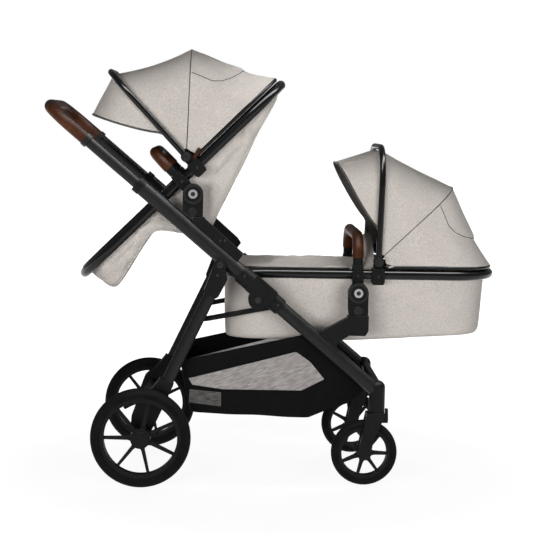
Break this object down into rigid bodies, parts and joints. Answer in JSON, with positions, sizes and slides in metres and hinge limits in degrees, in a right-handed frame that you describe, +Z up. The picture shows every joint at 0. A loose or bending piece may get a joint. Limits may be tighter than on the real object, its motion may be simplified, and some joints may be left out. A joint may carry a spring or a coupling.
{
  "type": "twin pram",
  "caption": "Tandem twin pram: folding black chassis on spoked wheels, raised reclining seat facing the leather handle, carrycot low in front, both hooded, basket below.",
  "frame": {"origin": "on the floor under the middle of the pram's outer box", "axes": "+X forward, away from the handle; +Y to the pram's left; +Z up"},
  "size_m": [1.3386, 0.612, 1.2647],
  "materials": {
    "tube": "satin black coat",
    "plastic": "fine grain",
    "steel": "satin",
    "tyre": "matt foam rubber",
    "leather": "stitched",
    "linen": "melange weave",
    "dark_cloth": "cloth and mesh"
  },
  "bodies": {
    "front_frame": {"front_legs": "tube", "front_cross_tube": "tube", "caster_housings": "plastic", "fold_joint_lower": "plastic", "frame_pins": "steel", "cot_adapters": "plastic", "basket": "dark_cloth"},
    "push_frame": {"push_tubes": "tube", "push_collars": "plastic", "fold_joint_upper": "plastic", "seat_adapters": "plastic"},
    "handlebar": {"handle_tube": "tube", "handle_grip": "leather"},
    "rear_frame": {"rear_legs": "tube", "rear_leg_heads": "plastic", "rear_axle_unit": "plastic"},
    "brake": {"brake_pedal": "plastic"},
    "link": {"fold_link": "tube"},
    "rear_right_wheel": {"rear_right_rim": "plastic", "rear_right_tyre": "tyre"},
    "rear_left_wheel": {"rear_left_rim": "plastic", "rear_left_tyre": "tyre"},
    "front_right_wheel": {"front_right_rim": "plastic", "front_right_tyre": "tyre"},
    "front_left_wheel": {"front_left_rim": "plastic", "front_left_tyre": "tyre"},
    "caster_right": {"fork_right": "plastic"},
    "caster_left": {"fork_left": "plastic"},
    "lock_right": {"swivel_lock_right": "plastic"},
    "lock_left": {"swivel_lock_left": "plastic"},
    "seat_mount": {"seat_feet": "plastic", "seat_hub_caps": "steel"},
    "seat_button_right": {"seat_release_right": "plastic"},
    "seat_button_left": {"seat_release_left": "plastic"},
    "seat": {"seat_ring": "tube", "seat_arms": "plastic", "seat_clamps": "plastic", "seat_bucket": "linen"},
    "seat_bumper": {"seat_bumper_bar": "plastic", "seat_bumper_grip": "leather"},
    "seat_canopy_mid": {"seat_mid_bow": "tube", "seat_rear_panel": "linen"},
    "seat_canopy_front": {"seat_front_bow": "tube", "seat_front_panel": "linen"},
    "cot": {"cot_feet": "plastic", "cot_hub_caps": "steel", "cot_ring": "tube", "cot_arms": "plastic", "cot_clamps": "plastic", "cot_body": "linen", "cot_mattress": "linen", "cot_apron": "linen"},
    "cot_button_right": {"cot_release_right": "plastic"},
    "cot_button_left": {"cot_release_left": "plastic"},
    "cot_handle": {"cot_handle_bar": "plastic", "cot_handle_grip": "leather"},
    "cot_hood_mid": {"cot_mid_bow": "tube", "cot_rear_panel": "linen"},
    "cot_hood_front": {"cot_front_bow": "tube", "cot_front_panel": "linen"}
  },
  "joints": [
    {"name": "fold", "type": "hinge", "parent": "front_frame", "child": "push_frame", "pos_m": [-0.04067, 0, 0.54398], "axis": [0, -1, 0], "range_deg": [0, 80], "deforming": ["basket"]},
    {"name": "leg_fold", "type": "hinge", "parent": "push_frame", "child": "rear_frame", "pos_m": [-0.15175, 0, 0.644], "axis": [0, -1, 0], "range_deg": [-26, 0]},
    {"name": "link_fold", "type": "hinge", "parent": "front_frame", "child": "link", "pos_m": [0.01024, 0, 0.51994], "axis": [0, -1, 0], "range_deg": [0, 61]},
    {"name": "handle_slide", "type": "slide", "parent": "push_frame", "child": "handlebar", "axis": [-0.7638, 0, 0.6455], "range_m": [-0.12, 0]},
    {"name": "brake_press", "type": "hinge", "parent": "rear_frame", "child": "brake", "pos_m": [-0.36153, 0, 0.22221], "axis": [0, -1, 0], "range_deg": [0, 18]},
    {"name": "rear_right_spin", "type": "hinge", "parent": "rear_frame", "child": "rear_right_wheel", "pos_m": [-0.3737, -0.284, 0.145], "axis": [0, 1, 0], "continuous": true},
    {"name": "rear_left_spin", "type": "hinge", "parent": "rear_frame", "child": "rear_left_wheel", "pos_m": [-0.3737, 0.284, 0.145], "axis": [0, 1, 0], "continuous": true},
    {"name": "caster_right_swivel", "type": "hinge", "parent": "front_frame", "child": "caster_right", "pos_m": [0.3128, -0.221, 0], "axis": [0, 0, 1], "continuous": true},
    {"name": "front_right_spin", "type": "hinge", "parent": "caster_right", "child": "front_right_wheel", "pos_m": [0.2783, -0.221, 0.097], "axis": [0, 1, 0], "continuous": true},
    {"name": "lock_right_lift", "type": "slide", "parent": "caster_right", "child": "lock_right", "axis": [0, 0, 1], "range_m": [0, 0.006]},
    {"name": "caster_left_swivel", "type": "hinge", "parent": "front_frame", "child": "caster_left", "pos_m": [0.3128, 0.221, 0], "axis": [0, 0, 1], "continuous": true},
    {"name": "front_left_spin", "type": "hinge", "parent": "caster_left", "child": "front_left_wheel", "pos_m": [0.2783, 0.221, 0.097], "axis": [0, 1, 0], "continuous": true},
    {"name": "lock_left_lift", "type": "slide", "parent": "caster_left", "child": "lock_left", "axis": [0, 0, 1], "range_m": [0, 0.006]},
    {"name": "seat_lift", "type": "slide", "parent": "push_frame", "child": "seat_mount", "axis": [0, 0, 1], "range_m": [0, 0.06]},
    {"name": "seat_tilt", "type": "hinge", "parent": "seat_mount", "child": "seat", "pos_m": [-0.23273, 0, 0.84703], "axis": [0, -1, 0], "range_deg": [-20, 10]},
    {"name": "seat_bumper_lift", "type": "slide", "parent": "seat", "child": "seat_bumper", "axis": [-0.7022, 0, 0.712], "range_m": [0, 0.05]},
    {"name": "seat_canopy_fold", "type": "hinge", "parent": "seat", "child": "seat_canopy_mid", "pos_m": [-0.25412, 0, 0.95318], "axis": [0, 1, 0], "range_deg": [0, 37], "deforming": ["seat_rear_panel"]},
    {"name": "seat_canopy_front_fold", "type": "hinge", "parent": "seat_canopy_mid", "child": "seat_canopy_front", "pos_m": [-0.25412, 0, 0.95318], "axis": [0, 1, 0], "range_deg": [0, 41.5], "deforming": ["seat_front_panel"]},
    {"name": "cot_lift", "type": "slide", "parent": "front_frame", "child": "cot", "axis": [0, 0, 1], "range_m": [0, 0.09]},
    {"name": "cot_handle_lift", "type": "slide", "parent": "cot", "child": "cot_handle", "axis": [0, 0, 1], "range_m": [0, 0.05]},
    {"name": "cot_hood_fold", "type": "hinge", "parent": "cot", "child": "cot_hood_mid", "pos_m": [0.3106, 0, 0.6576], "axis": [0, 1, 0], "range_deg": [0, 37], "deforming": ["cot_rear_panel"]},
    {"name": "cot_hood_front_fold", "type": "hinge", "parent": "cot_hood_mid", "child": "cot_hood_front", "pos_m": [0.3106, 0, 0.6576], "axis": [0, 1, 0], "range_deg": [0, 41.5], "deforming": ["cot_front_panel"]},
    {"name": "seat_release_right", "type": "slide", "parent": "seat_mount", "child": "seat_button_right", "axis": [0, 1, 0], "range_m": [0, 0.004], "stiffness_N_per_m": 900, "springref_m": -0.002},
    {"name": "seat_release_left", "type": "slide", "parent": "seat_mount", "child": "seat_button_left", "axis": [0, -1, 0], "range_m": [0, 0.004], "stiffness_N_per_m": 900, "springref_m": -0.002},
    {"name": "cot_release_right", "type": "slide", "parent": "cot", "child": "cot_button_right", "axis": [0, 1, 0], "range_m": [0, 0.004], "stiffness_N_per_m": 900, "springref_m": -0.002},
    {"name": "cot_release_left", "type": "slide", "parent": "cot", "child": "cot_button_left", "axis": [0, -1, 0], "range_m": [0, 0.004], "stiffness_N_per_m": 900, "springref_m": -0.002}
  ],
  "couplings": [
    {"joint": "leg_fold", "follows": "fold", "ratio": -0.31},
    {"joint": "link_fold", "follows": "fold", "ratio": 0.75},
    {"joint": "seat_canopy_front_fold", "follows": "seat_canopy_fold", "ratio": 1.108},
    {"joint": "cot_hood_front_fold", "follows": "cot_hood_fold", "ratio": 1.108}
  ]
}
